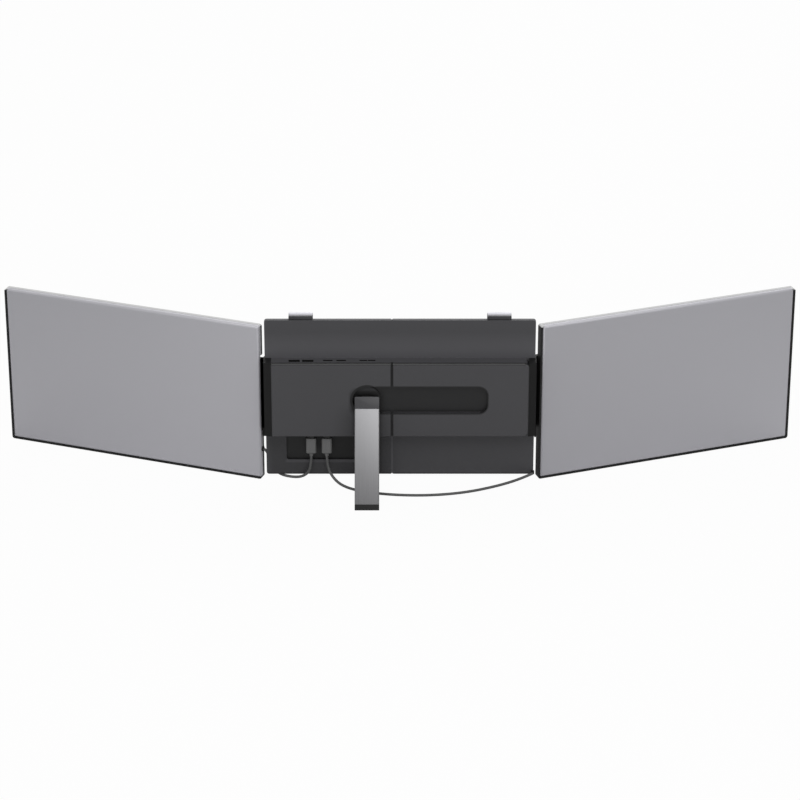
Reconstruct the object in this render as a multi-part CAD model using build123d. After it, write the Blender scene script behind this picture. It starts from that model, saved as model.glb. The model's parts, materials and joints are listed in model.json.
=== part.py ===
from build123d import *
import math
import os

# Laptop screen extender: a telescoping bracket that clips on a laptop's lid, with a monitor
# hinged at each side and a fold-out stand leg. Millimetres, +Z up, +Y towards the user.
# Built with y = 0 on the back face of the bracket's plates, then moved so that the origin
# is the middle of the footprint.
footprint_y = 18.0

# Bracket plates
plate_half_width = 157.3
plate_bottom = 6.8
plate_top = 205.0
plate_thickness = 5.0
cover_wall = 1.6
cavity_depth = 1.6
seam_x = -9.4
plate_corner = 3.0
seam_corner = 2.0
least_corner = 0.6

# Spine, the raised box across the bracket
spine_bottom = 63.5
spine_top = 157.3
spine_depth = 17.0
spine_half_width = 149.6
spine_edge = 1.2
spine_end_corner = 6.0
seam_wall = 2.8
seam_groove = 1.3
seam_groove_depth = 3.0
seam_passage = 4.0

# Recess that takes the stand, and its turntable
recess_z = 110.5
recess_height = 34.0
recess_depth = 5.5
recess_end = 102.0
recess_end_corner = 11.0
stand_x = -38.4
disc_gap = 1.0
disc_thickness = 1.6
disc_hub_radius = 6.0
retainer_radius = 9.0
retainer_thickness = 1.0
running_gap = 0.3
fit_gap = 0.05

# Stand leg
leg_tilt = 28.6
leg_width = 28.5
leg_thickness = 5.0
leg_step = 0.3
leg_edge = 0.8
pivot_depth = 16.5
pivot_z = recess_z + 1.5
cap_length = 14.0
cap_skin = 0.9
cap_corner = 1.5
cap_root = 3.0
foot_length = 4.8
stand_pin_radius = 1.3
stand_pin_length = 24.0
lug_width = 12.0
lug_radius = 2.4

# Telescoping guides
rod_radius = 3.0
rod_left = -96.0
rod_reach = 104.0
rod_inset = 20.0
rod_forward = 1.0
mount_span = (-6.0, 8.0)
mount_wall = 2.0
bush_radius = 5.5
bush_length = 16.0
strip_height = 24.0
strip_reach = 66.0
strip_thickness = 1.0
strip_grip = 24.0
strip_raise = 4.0
tongue_reach = 66.0
tongue_height = 26.0
tongue_gap = 2.0

# Clips over the lid
clip_x = 115.0
clip_width = 28.0
clip_rise = 4.6
clip_wall = 1.6
clip_reach = 13.0
clip_lip = 8.0
clip_tail = 40.0
clip_tail_width = 22.0
clip_pad = 0.8
clip_step = 0.8
clip_corner = 1.5
clip_pad_inset = 2.0

# Ports in the top face of the spine: distances of their middles from the bracket's middle
board_back = -5.4
usb_a_x = (-122.7, -107.0)
hdmi_x = (-83.7, -68.2)
usb_c_x = (-42.6, -32.9)
usb_a_size = (13.2, 5.8)
hdmi_size = (11.2, 3.4)
usb_c_size = (8.9, 3.2)
port_length = 12.0
socket_wall = 0.4
socket_base = 2.0
socket_lip = 1.5

# Bay in the left lower plate, and the plugs in the spine's underside
bay_left = -133.5
bay_right = -41.0
bay_bottom = 26.0
bay_depth = 2.5
bay_corner = 3.0
plug_x = (-104.2, -86.0)
plug_width = 11.8
plug_thickness = 6.6
plug_length = 19.0
plug_gap = 6.0
plug_corner = 1.5
relief_length = 5.0
relief_wall = 0.3
relief_step = 0.4
plug_tip = 1.2
cable_radius = 1.6
cable_sides = 8
inlet_height = 38.5
grommet_length = 1.2
grommet_play = 0.8
grommet_wall = 0.9
well_right = -139.0
well_top = 44.0
boot_z = 9.6
boot_mouth_y = -2.6
boot_width = 3.6
boot_wall = 0.4

# Monitors
monitor_width = 326.2
monitor_height = 197.0
monitor_thickness = 10.0
monitor_corner = 3.0
back_thickness = 3.0
shell_depth = 6.0
shell_wall = 2.0
shell_corner = 2.0
glass_thickness = 0.8
rail = 2.2
rail_back = 0.6
frame_wall = 1.0
chassis_thickness = 1.2
back_wall = 1.2
back_bevel = 2.0
bezel_side = 8.4
bezel_bottom = 14.0
bezel_top = 9.0
button_height = 12.0
button_middle = 60.0
button_thickness = 1.6
button_stands_out = 0.7
button_root = 3.0
button_travel = 0.5
button_play = 0.2
driver_board_width = 140.0
driver_board_height = 34.0
panel_thickness = 2.6
board_thickness = 1.6
fold_angle = 20.0

# Monitor hinges
left_axis = (-165.6, 8.0)
right_axis = (163.7, 13.4)
edge_overlap = 5.0
barrel_radius = 3.1
hinge_pin_radius = 1.4
knuckle_gap = 0.3
knuckle_count = 5
knuckle_inset = 2.0
leaf_thickness = 1.2
leaf_root = 4.4
leaf_reach = 30.0
leaf_web = {-1: 1.4, 1: 2.0}
cheek_reach = 158.4
cheek_edge_depth = 14.5
cheek_shoulder = 2.5
flange_thickness = 0.8
flange_back = 4.0
tab_gap = 3.4
arm_step = 0.7
arm_rise = 2.5
arm_root = 2.1
flange_drop = 1.0
notch_gap = 1.5
notch_play = 1.1
notch_reach = {-1: 4.0, 1: 2.2}

# Front pads, boards and screws
pad_thickness = 0.7
pad_width = 9.0
pad_corner = 2.0
pad_end_gap = 20.0
pad_drop = 19.0
screw_inset = 9.0
board_height = 13.0
board_margin = 2.0
port_board_ends = (10.0, 8.0)
power_board_ends = (22.0, 26.0)
boss_half = 2.2
boss_inset = 4.0
boss_reach = 14.0
screw_radius = 2.2

nodes = {}


def block(x, y, z):
    """A box between the two limits given for each axis."""
    centre = [(a + b) / 2 for a, b in (x, y, z)]
    return Pos(*centre) * Box(abs(x[1] - x[0]), abs(y[1] - y[0]), abs(z[1] - z[0]))


def panel(width, height, depth, corner, x, y, z):
    """A plate in the XZ plane with rounded corners, its back at y and its middle at x, z."""
    face = RectangleRounded(width, height, corner)
    return Pos(x, y + depth, z) * Rot(90, 0, 0) * extrude(face, depth)


def rod(radius, start, end, axis):
    """A round bar between two places along an axis through the point given."""
    turn = {"X": Rot(0, 90, 0), "Y": Rot(-90, 0, 0), "Z": Rot(0, 0, 0)}[axis[0]]
    length = end - start
    middle = (start + end) / 2
    spot = {
        "X": (middle, axis[1], axis[2]),
        "Y": (axis[1], middle, axis[2]),
        "Z": (axis[1], axis[2], middle),
    }[axis[0]]
    return Pos(*spot) * turn * Cylinder(radius, length)


def along_y(sketch, y_back, y_front):
    """A sketch drawn in X and Z, made solid between two depths."""
    return Pos(0, y_front, 0) * Rot(90, 0, 0) * extrude(sketch, y_front - y_back)


def half_span(side):
    """The X limits of the left (-1) or right (+1) half of the bracket."""
    return (-plate_half_width, seam_x) if side < 0 else (seam_x, plate_half_width)


def half_outline(side, inset=0.0):
    """The flat outline of one half of the bracket, in X and Z."""
    x0, x1 = half_span(side)
    outline = Pos((x0 + x1) / 2, (plate_bottom + plate_top) / 2) * Rectangle(
        x1 - x0 - 2 * inset, plate_top - plate_bottom - 2 * inset
    )
    seam_edge = seam_x + side * inset
    seam_corners = [v for v in outline.vertices() if abs(v.X - seam_edge) < 0.01]
    outline = fillet(seam_corners, max(seam_corner - inset, least_corner))
    outer_edge = side * (plate_half_width - inset)
    outer_corners = [v for v in outline.vertices() if abs(v.X - outer_edge) < 0.01]
    return fillet(outer_corners, max(plate_corner - inset, least_corner))


def spine_span(side):
    return (-spine_half_width, seam_x) if side < 0 else (seam_x, spine_half_width)


def spine_box(side, inset, back, front):
    """The raised box of one half, shrunk by inset on its four sides."""
    x0, x1 = spine_span(side)
    return block(
        (x0 + inset, x1 - inset), (back, front), (spine_bottom + inset, spine_top - inset)
    )


def spine_outer(side):
    """The outside of the raised box, with its eased edges and the right end's corners."""
    box = spine_box(side, 0, -spine_depth, cover_wall)
    if side > 0:
        box = fillet(box.edges().filter_by(Axis.Y).group_by(Axis.X)[-1], spine_end_corner)
    back = box.faces().sort_by(Axis.Y)[0]
    rim_edges = [e for e in back.edges() if abs(e.center().X - seam_x) > 0.01]
    groove = block(
        (seam_x - seam_groove, seam_x + seam_groove),
        (-spine_depth - 1, seam_groove_depth - spine_depth),
        (spine_bottom - 1, spine_top + 1),
    )
    return chamfer(rim_edges, spine_edge) - groove


def recess_sketch(grow=0.0):
    """The stand's recess: a full round at the turntable and corners at the far end."""
    radius = recess_height / 2 + grow
    far = recess_end + grow
    bar = Pos((stand_x + far) / 2, recess_z) * Rectangle(far - stand_x, 2 * radius)
    far_corners = bar.vertices().sort_by(Axis.X)[2:]
    bar = fillet(far_corners, recess_end_corner + grow)
    return bar + Pos(stand_x, recess_z) * Circle(radius)


def recess_floor_y():
    return recess_depth - spine_depth


def rod_heights():
    return (spine_bottom + rod_inset, spine_top - rod_inset)


def strip_heights():
    return (
        (plate_bottom + spine_bottom) / 2 + strip_raise,
        (spine_top + plate_top) / 2,
    )


def strip_y():
    return (cover_wall + (cavity_depth - strip_thickness) / 2,
            cover_wall + (cavity_depth + strip_thickness) / 2)


def strip(height, length_from, length_to, gap=0.0):
    y = strip_y()
    return block(
        (length_from, length_to),
        (y[0] - gap, y[1] + gap),
        (height - strip_height / 2 - gap, height + strip_height / 2 + gap),
    )


def bay(grow=0.0, floor=0.0):
    """The shallow bay that gives the plugs their room."""
    width = bay_right - bay_left + 2 * grow
    height = spine_bottom - bay_bottom + grow
    return panel(
        width,
        height + 2 * bay_corner,
        bay_depth + floor,
        bay_corner + grow,
        (bay_left + bay_right) / 2,
        0,
        bay_bottom - grow + height / 2 + bay_corner,
    )


def cable_well():
    """The corner of the left lower plate where its monitor's cable passes."""
    return block(
        (-plate_half_width - 1, well_right),
        (cover_wall, plate_thickness + 1),
        (plate_bottom - 1, well_top),
    )


def clip_tail_slot(side, gap):
    x = side * clip_x
    y = strip_y()
    half = clip_tail_width / 2 + gap
    return block(
        (x - half, x + half),
        (y[0] - gap, y[1] + gap),
        (plate_top - clip_tail, plate_top + 1),
    )


def bracket_back(side):
    """Back cover of one half: two plates and the hollow spine, open towards the front."""
    depth = cover_wall + cavity_depth
    shell = along_y(half_outline(side), 0, depth) + spine_outer(side)
    shell -= along_y(half_outline(side, cover_wall), cover_wall, depth + 1)
    hollow = spine_box(side, cover_wall, cover_wall - spine_depth, depth)
    floor = along_y(recess_sketch(cover_wall), -spine_depth, recess_floor_y() + cover_wall)
    hollow -= floor
    hollow -= block(
        (seam_x - seam_wall, seam_x + seam_wall), (-spine_depth, cover_wall), (spine_bottom, spine_top)
    )
    shell -= hollow
    shell -= along_y(recess_sketch(), -spine_depth - 1, recess_floor_y())
    play = running_gap if side > 0 else 0
    for height in strip_heights():
        shell -= strip(height, seam_x - seam_passage, seam_x + seam_passage, play)
    reach = seam_x + side * seam_passage
    for height in rod_heights():
        gap = bush_radius if side > 0 else rod_radius
        shell -= rod(gap, min(seam_x, reach) - 1, max(seam_x, reach) + 1, ("X", rod_y(), height))
    shell -= tongue_box(seam_x - seam_passage, seam_x + seam_passage, play)
    shell -= clip_tail_slot(side, running_gap)
    if side < 0:
        keep = bay(cover_wall, cavity_depth + cover_wall - bay_depth)
        shell += keep & along_y(half_outline(side), 0, depth)
        shell -= bay()
        shell -= port_holes()
        shell -= rod(disc_hub_radius, recess_floor_y() - 1, recess_floor_y() + cover_wall + 1,
                     ("Y", stand_x, recess_z))
        shell -= cable_well()
        shell += board_bosses()
    return shell


def rod_y():
    return -(spine_depth - cover_wall) / 2 + rod_forward


def tongue_box(start, end, gap=0.0):
    """The flat plate that covers the middle of the opened slide, under the recess's floor."""
    y = recess_floor_y() + cover_wall + running_gap
    return block(
        (start, end),
        (y - gap, y + strip_thickness + gap),
        (recess_z - tongue_height / 2 - gap, recess_z + tongue_height / 2 + gap),
    )


def port_list():
    """Each kind of port in the spine's top face: name, middles and outer size."""
    return (
        ("usb_a_ports", usb_a_x, usb_a_size),
        ("hdmi_ports", hdmi_x, hdmi_size),
        ("usb_c_ports", usb_c_x, usb_c_size),
    )


def port_holes():
    holes = []
    for name, places, size in port_list():
        holes += [
            block(
                (x - size[0] / 2, x + size[0] / 2),
                (board_back - size[1], board_back),
                (spine_top - port_length, spine_top + 1),
            )
            for x in places
        ]
    for x in plug_x:
        holes.append(
            block(
                (x - usb_c_size[0] / 2, x + usb_c_size[0] / 2),
                (plug_y() - usb_c_size[1] / 2, plug_y() + usb_c_size[1] / 2),
                (spine_bottom - 1, spine_bottom + port_length),
            )
        )
    return holes


def port_y(size):
    return board_back - size[1] / 2


def plug_y():
    return port_y(usb_c_size)


def socket(x, y, size, mouth_z, inward):
    """A metal port shell with its contact tongue, its mouth flush with the spine."""
    back = mouth_z + inward * port_length
    low, high = min(mouth_z, back), max(mouth_z, back)
    outer = block(
        (x - size[0] / 2, x + size[0] / 2), (y - size[1] / 2, y + size[1] / 2), (low, high)
    )
    wall = socket_wall
    mouth = block(
        (x - size[0] / 2 + wall, x + size[0] / 2 - wall),
        (y - size[1] / 2 + wall, y + size[1] / 2 - wall),
        (mouth_z - inward, back - inward * socket_base),
    )
    tongue = block(
        (x - size[0] / 3, x + size[0] / 3),
        (y - size[1] / 8, y + size[1] / 8),
        (mouth_z + inward * socket_lip, back - inward * socket_base),
    )
    return outer - mouth + tongue


def front_cover(side):
    """Flat front plate of one half, which closes its cavity."""
    cover = along_y(half_outline(side), cover_wall + cavity_depth, plate_thickness)
    if side < 0:
        cover -= cable_well()
    return cover


def front_pads(side):
    """Rubber strips that the lid rests against."""
    x0, x1 = half_span(side)
    pads = []
    for z in (plate_top - pad_drop, spine_bottom - pad_drop):
        pad = block(
            (x0 + pad_end_gap, x1 - pad_end_gap),
            (plate_thickness, plate_thickness + pad_thickness),
            (z - pad_width / 2, z + pad_width / 2),
        )
        pads.append(chamfer(pad.edges().filter_by(Axis.Y), pad_corner))
    return pads


def screws(places):
    """Flat-headed screws that hold the front cover, flush with its face."""
    return [rod(screw_radius, cover_wall, plate_thickness, ("Y", x, z)) for x, z in places]


def save(name, *solids):
    """One named piece, or a group of identical ones, moved to the part's own origin."""
    flat = []
    for solid in solids:
        flat += list(solid) if isinstance(solid, (list, tuple)) else [solid]
    placed = [Pos(0, -footprint_y, 0) * s for s in flat]
    bodies = [b for s in placed for b in s.solids()]
    nodes[name] = bodies[0] if len(bodies) == 1 else Compound(children=bodies)


def boards():
    """The port board behind the top sockets and the power board behind the plugs."""
    upper = block(
        (usb_a_x[0] - port_board_ends[0], usb_c_x[1] + port_board_ends[1]),
        (board_back, board_back + board_thickness),
        (spine_top - board_margin - board_height, spine_top - board_margin),
    )
    lower = block(
        (plug_x[0] - power_board_ends[0], plug_x[1] + power_board_ends[1]),
        (board_back, board_back + board_thickness),
        (spine_bottom + board_margin, spine_bottom + board_margin + board_height),
    )
    return upper, lower


def board_bosses():
    """Posts on the back cover that carry the two boards."""
    inward = cover_wall + board_margin + boss_inset
    places = [((usb_a_x[1] + hdmi_x[0]) / 2, spine_top - inward)]
    places += [((hdmi_x[1] + usb_c_x[0]) / 2, spine_top - inward)]
    places += [(plug_x[0] - boss_reach, spine_bottom + inward)]
    places += [(plug_x[1] + boss_reach, spine_bottom + inward)]
    return [
        block(
            (x - boss_half, x + boss_half),
            (cover_wall - spine_depth, board_back),
            (z - boss_half, z + boss_half),
        )
        for x, z in places
    ]


def rod_mounts():
    """Blocks in the left half that hold the fixed ends of the guide rods."""
    return [
        block(
            (rod_left + mount_span[0], rod_left + mount_span[1]),
            (cover_wall - spine_depth, rod_y() + rod_radius + mount_wall),
            (z - rod_radius - mount_wall, z + rod_radius + mount_wall),
        )
        - rod(rod_radius, rod_left, rod_left + mount_span[1] + 1, ("X", rod_y(), z))
        for z in rod_heights()
    ]


def clip(side):
    """Sliding hook that goes over the lid's top edge."""
    x = side * clip_x
    tail_y = strip_y()
    tail_half = clip_tail_width / 2
    half = clip_width / 2
    low = plate_top + running_gap
    high = plate_top + clip_rise
    back = tail_y[0] - clip_step
    tail = block((x - tail_half, x + tail_half), tail_y, (plate_top - clip_tail + 1, low))
    rise = block((x - half, x + half), (back, tail_y[1]), (low, high))
    top = block((x - half, x + half), (back, clip_reach), (high - clip_wall, high))
    lip = block((x - half, x + half), (clip_reach - clip_wall, clip_reach), (high - clip_lip, high))
    hook = rise + top + lip
    hook = fillet(hook.edges().filter_by(Axis.Y).group_by(Axis.Z)[-1], clip_corner)
    return hook + tail


def clip_cushion(side):
    """Soft pad on the inside of the hook's lip."""
    x = side * clip_x
    high = plate_top + clip_rise - clip_wall
    low = plate_top + clip_rise - clip_lip + clip_pad
    half = clip_width / 2 - clip_pad_inset
    face = clip_reach - clip_wall
    return block((x - half, x + half), (face - clip_pad, face), (low, high))


def turntable():
    """Disc that the leg is hinged on, with its hub and its lug."""
    face = recess_floor_y() - running_gap
    disc = rod(recess_height / 2 - disc_gap, face - disc_thickness, face, ("Y", stand_x, recess_z))
    hub = rod(disc_hub_radius - fit_gap, face, recess_floor_y() + cover_wall + running_gap,
              ("Y", stand_x, recess_z))
    lug = rod(lug_radius, stand_x - lug_width / 2, stand_x + lug_width / 2,
              ("X", -pivot_depth, pivot_z))
    neck = block(
        (stand_x - lug_width / 2, stand_x + lug_width / 2),
        (-pivot_depth, face - disc_thickness),
        (pivot_z - lug_radius, pivot_z + lug_radius),
    )
    bore = rod(stand_pin_radius + fit_gap, stand_x - lug_width, stand_x + lug_width,
               ("X", -pivot_depth, pivot_z))
    return disc + hub + lug + neck - bore


def retainer():
    """Plate behind the recess's floor that keeps the turntable in its bore."""
    back = recess_floor_y() + cover_wall + running_gap
    plate = Pos(stand_x, recess_z) * RegularPolygon(retainer_radius, 8)
    return along_y(plate, back, back + retainer_thickness)


def leg_place():
    return Pos(stand_x, -pivot_depth, pivot_z) * Rot(-leg_tilt, 0, 0)


def leg_length():
    return pivot_z / math.cos(math.radians(leg_tilt))


def leg_faces():
    """Depths of the leg's outer and inner faces from its pivot."""
    outer = -lug_radius - running_gap - cap_skin
    return outer, outer + leg_thickness


def stand_cap():
    """Hinge end of the leg: two cheeks around the lug under one skin."""
    outer, inner = leg_faces()
    round_end = lug_radius + running_gap
    half = leg_width / 2
    slab = block((-half, half), (outer, inner), (round_end - cap_length, 0))
    crown = block((-half, half), (outer, 0), (0, round_end))
    end = rod(round_end, -half, half, ("X", 0, 0))
    cap = slab + crown + end
    envelope = panel(
        leg_width, 2 * cap_length, 4 * leg_thickness, cap_corner, 0, outer, round_end - cap_length
    )
    cap = cap & envelope
    slot = block(
        (-lug_width / 2 - running_gap, lug_width / 2 + running_gap),
        (-lug_radius - running_gap, round_end + 1),
        (round_end - cap_length + cap_root, round_end + 1),
    )
    pin_hole = rod(stand_pin_radius, -stand_pin_length / 2, stand_pin_length / 2, ("X", 0, 0))
    return leg_place() * (cap - slot - pin_hole)


def stand_leg():
    """Aluminium strip with eased long edges."""
    outer, inner = leg_faces()
    half = leg_width / 2
    top = lug_radius + running_gap - cap_length
    strip_solid = block((-half, half), (outer + leg_step, inner), (foot_length - leg_length(), top))
    long_edges = strip_solid.edges().filter_by(Axis.Z)
    return leg_place() * chamfer(long_edges, leg_edge)


def stand_foot():
    """Rubber end of the leg, cut level with what it stands on."""
    outer, inner = leg_faces()
    half = leg_width / 2
    end = foot_length - leg_length()
    block_solid = block((-half, half), (outer, inner), (-leg_length() - foot_length, end))
    return split(leg_place() * block_solid, bisect_by=Plane.XY, keep=Keep.TOP)


def knuckles(bracket_side):
    """The Z spans of the hinge's knuckles on the bracket or on the monitor."""
    low, high = spine_bottom + knuckle_inset, spine_top - knuckle_inset
    pitch = (high - low) / knuckle_count
    spans = [
        (low + i * pitch, low + (i + 1) * pitch - knuckle_gap) for i in range(knuckle_count)
    ]
    return spans[0::2] if bracket_side else spans[1::2]


def prism(points, low, high):
    """An outline in X and Y, made solid between two heights."""
    return Pos(0, 0, low) * extrude(make_face(Polyline(*points, close=True)), high - low)


def cheek(side):
    """Hinge housing that closes the spine's end and runs down to the monitor."""
    inner = spine_half_width
    points = [
        (side * inner, 0),
        (side * inner, spine_edge - spine_depth),
        (side * (inner + cheek_shoulder), spine_edge - spine_depth),
        (side * cheek_reach, -cheek_edge_depth),
        (side * cheek_reach, plate_thickness),
        (side * plate_half_width, plate_thickness),
        (side * plate_half_width, 0),
    ]
    return prism(points, spine_bottom, spine_top)


def arm(side):
    """Fixed half of the monitor's hinge: a flange on the bracket, with its knuckles."""
    low, high = knuckles(True)[0][0], knuckles(True)[-1][1]
    ax, ay = left_axis if side < 0 else right_axis
    edge = side * cheek_reach
    front = plate_thickness + flange_thickness
    if side < 0:
        tab = ax + tab_gap
        root = -spine_half_width
        flange = [
            (root, plate_thickness),
            (edge, plate_thickness),
            (edge, flange_back),
            (tab, flange_back),
            (tab, front),
            (root, front),
        ]
        neck = [
            (edge, flange_back),
            (tab, flange_back),
            (ax, ay - barrel_radius),
            (ax, ay),
            (ax + barrel_radius, ay),
            (tab, front),
            (edge, front),
        ]
    else:
        inner = plate_half_width - arm_step
        flange = [
            (inner, plate_thickness),
            (edge, plate_thickness),
            (edge, ay - flange_drop),
            (inner, ay - flange_drop),
        ]
        neck = [
            (inner, plate_thickness),
            (edge, plate_thickness),
            (edge, ay - arm_rise),
            (ax, ay),
            (ax, ay + barrel_radius),
            (edge, ay + arm_root),
            (inner, ay),
        ]
    made = prism(flange, low, high)
    for span in knuckles(True):
        made += prism(neck, *span) + rod(barrel_radius, *span, ("Z", ax, ay))
    return made - rod(hinge_pin_radius, low - 1, high + 1, ("Z", ax, ay))


def hinge_pin(side):
    low, high = knuckles(True)[0][0], knuckles(True)[-1][1]
    ax, ay = left_axis if side < 0 else right_axis
    return rod(hinge_pin_radius, low, high, ("Z", ax, ay))


def monitor_place(side):
    """Moves a monitor from its own frame (inner edge at x = 0, back at y = 0) to its hinge."""
    ax, ay = left_axis if side < 0 else right_axis
    swing = Pos(ax, ay, 0) * Rot(0, 0, side * fold_angle) * Pos(-side * edge_overlap, -ay, 0)
    return swing


def put(side, solid):
    """A monitor's piece, mirrored for the left one and swung to its hinge."""
    if side < 0:
        solid = mirror(solid, about=Plane.YZ)
    return monitor_place(side) * solid


def hinge_depth(side):
    return (left_axis if side < 0 else right_axis)[1]


def hinge_notch(side):
    """Room for the fixed knuckles in the left monitor, or for the leaf in the right one."""
    low, high = spine_bottom - notch_gap, spine_top + notch_gap
    reach = edge_overlap + notch_reach[side]
    front = monitor_thickness + 1
    if side < 0:
        depth = hinge_depth(side) - barrel_radius - notch_play
        return [block((-1, reach), (depth, front), (low, high))]
    return [block((rail, reach), (leaf_back(), front), span) for span in knuckles(False)]


def leaf_back():
    return back_thickness + chassis_thickness


def leaf(side):
    """Moving half of the hinge: a plate in the monitor with its knuckles."""
    depth = hinge_depth(side)
    back = leaf_back()
    front = back + leaf_thickness
    start = edge_overlap + leaf_root
    near, far = edge_overlap - leaf_web[side], edge_overlap + leaf_web[side]
    spans = knuckles(False)
    low, high = spans[0][0], spans[-1][1]
    plate = block((start, leaf_reach), (back, front), (low, high))
    for z0, z1 in spans:
        plate += block((near, start), (back, front), (z0, z1))
        plate += block((near, far), (back, depth), (z0, z1))
        plate += rod(barrel_radius, z0, z1, ("Z", edge_overlap, depth))
    return plate - rod(
        hinge_pin_radius + fit_gap, low - 1, high + 1, ("Z", edge_overlap, depth)
    )


def glass_back():
    return monitor_thickness - glass_thickness


def cover_block(side, inset, back, front, corner):
    """The metal cover's outline, shrunk by inset, as a block between two depths."""
    x0 = rail if side > 0 else 0.0
    x1 = monitor_width - rail
    z0, z1 = rail, monitor_height
    return panel(
        x1 - x0 - 2 * inset, z1 - z0 - 2 * inset, front - back, corner,
        (x0 + x1) / 2, back, (z0 + z1) / 2,
    )


def monitor_back(side):
    """Metal back cover, a tray with eased edges that reaches the monitor's top edge."""
    outer = cover_block(side, 0, 0, shell_depth, shell_corner)
    outer = chamfer(outer.faces().sort_by(Axis.Y)[0].edges(), back_bevel)
    inside = cover_block(side, shell_wall, back_wall, shell_depth + 1, shell_corner / 2)
    return outer - inside - hinge_notch(side)


def monitor_frame(side):
    """Dark frame: rails beside the back cover, a ring in front of it and a chassis plate."""
    ring = panel(
        monitor_width, monitor_height, glass_back() - rail_back, monitor_corner,
        monitor_width / 2, rail_back, monitor_height / 2,
    )
    ring -= cover_block(side, 0, 0, shell_depth, shell_corner)
    core = cover_block(side, shell_wall, back_thickness, glass_back(), shell_corner / 2)
    room = cover_block(
        side, shell_wall + frame_wall, leaf_back(), glass_back() + 1, shell_corner / 2
    )
    return ring + core - room - hinge_notch(side) - power_button(button_play)


def power_button(play=0.0):
    """The rocker in the frame's outer side, or with play its slot."""
    middle = (shell_depth + glass_back()) / 2
    depth = button_thickness / 2 + play
    half = button_height / 2 + play
    root = button_root + (play + button_travel if play else 0)
    return block(
        (monitor_width - root, monitor_width + button_stands_out + play),
        (middle - depth, middle + depth),
        (button_middle - half, button_middle + half),
    )


def active_span():
    """The X and Z limits of the picture area."""
    return (
        (bezel_side, monitor_width - bezel_side),
        (bezel_bottom, monitor_height - bezel_top),
    )


def bezel(side):
    """Thin black border around the picture."""
    border = panel(
        monitor_width, monitor_height, glass_thickness, monitor_corner,
        monitor_width / 2, glass_back(), monitor_height / 2,
    )
    x, z = active_span()
    return border - block(x, (glass_back() - 1, monitor_thickness + 1), z) - hinge_notch(side)


def screen_glass():
    x, z = active_span()
    return block(x, (glass_back(), monitor_thickness), z)


def display_panel():
    x, z = active_span()
    return block(x, (glass_back() - panel_thickness, glass_back()), z)


def driver_board():
    """Board between the chassis plate and the display panel."""
    x, z = active_span()
    middle = (x[0] + x[1]) / 2
    return block(
        (middle - driver_board_width / 2, middle + driver_board_width / 2),
        (leaf_back(), leaf_back() + board_thickness),
        (z[0], z[0] + driver_board_height),
    )


def monitor(side, name):
    save(name + "_back_cover", put(side, monitor_back(side)))
    save(name + "_frame", put(side, monitor_frame(side)))
    save(name + "_bezel", put(side, bezel(side)))
    save(name + "_glass", put(side, screen_glass()))
    save(name + "_display_panel", put(side, display_panel()))
    save(name + "_driver_board", put(side, driver_board()))
    save(name + "_hinge_leaf", put(side, leaf(side)))
    save(name + "_button", put(side, power_button()))


def cable(points, radii):
    """A cable's tube: straight runs joined by arcs."""
    path = FilletPolyline(*points, radius=radii)
    section = Plane(origin=path @ 0, z_dir=path % 0) * RegularPolygon(cable_radius, cable_sides)
    tube = sweep(section, path=path)
    expected = section.area * path.length
    print("cable length", round(path.length, 1), "volume ratio", round(tube.volume / expected, 4))
    return tube


def bend_radii(points):
    """The largest radius that each corner's two runs allow."""
    found = []
    for a, b, c in zip(points, points[1:], points[2:]):
        first, second = Vector(*b) - Vector(*a), Vector(*c) - Vector(*b)
        turn = math.radians(first.get_angle(second))
        shorter = min(first.length, second.length)
        found.append(0.45 * shorter / math.tan(turn / 2))
    print("radii", [round(r, 1) for r in found])
    return found


def cable_plug(x):
    """A USB-C plug: its overmould, its metal tip and its strain relief."""
    top = spine_bottom - plug_gap
    low = top - plug_length
    y = plug_y()
    body = block(
        (x - plug_width / 2, x + plug_width / 2),
        (y - plug_thickness / 2, y + plug_thickness / 2),
        (low, top),
    )
    body = chamfer(body.edges().filter_by(Axis.Z), plug_corner)
    tip_half = (usb_c_size[0] / 2 - socket_wall - fit_gap, usb_c_size[1] / 2 - socket_wall - fit_gap)
    tip = block(
        (x - tip_half[0], x + tip_half[0]),
        (y - tip_half[1], y + tip_half[1]),
        (top, spine_bottom + plug_tip),
    )
    relief = Pos(x, y, low - relief_length / 2) * Cone(
        cable_radius + relief_wall, plug_thickness / 2 - relief_step, relief_length
    )
    return body + tip + relief


def cable_start():
    return spine_bottom - plug_gap - plug_length - relief_length


def left_cable_points():
    """The left monitor's cable: down from its plug, under the plate and up through its corner."""
    x, y = plug_x[0], plug_y()
    return [
        (x, y, cable_start()),
        (x - 0.5, y, 22),
        (x - 4, y + 1, 11),
        (x - 13, y + 4, 4.0),
        (x - 26, y + 8, 2.6),
        (x - 38, y + 10.3, 5),
        (x - 46, y + 10.8, 14),
        (x - 50.5, y + 11, 25),
        (x - 52, y + 10.8, 35),
        left_inlet(),
    ]


def left_inlet():
    """Where the left cable meets its grommet on the monitor's inner side."""
    reach = grommet_length + 0.1
    spot = (monitor_place(-1) * Pos(reach, monitor_thickness / 2, inlet_height)).position
    return (spot.X, spot.Y, spot.Z)


def grommet():
    """Rubber ring where the cable enters the left monitor, in the monitor's own frame."""
    spot = ("X", monitor_thickness / 2, inlet_height)
    ring = rod(cable_radius + grommet_play + grommet_wall, -grommet_length, 0, spot)
    return ring - rod(cable_radius + grommet_play, -grommet_length - 1, 1, spot)


def right_boot():
    """Small housing at the corner of the right plate that takes the cable's end."""
    half = cable_radius + boot_wall
    return block(
        (cheek_reach - boot_width, cheek_reach),
        (boot_mouth_y, 0),
        (boot_z - half, boot_z + half),
    )


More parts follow.
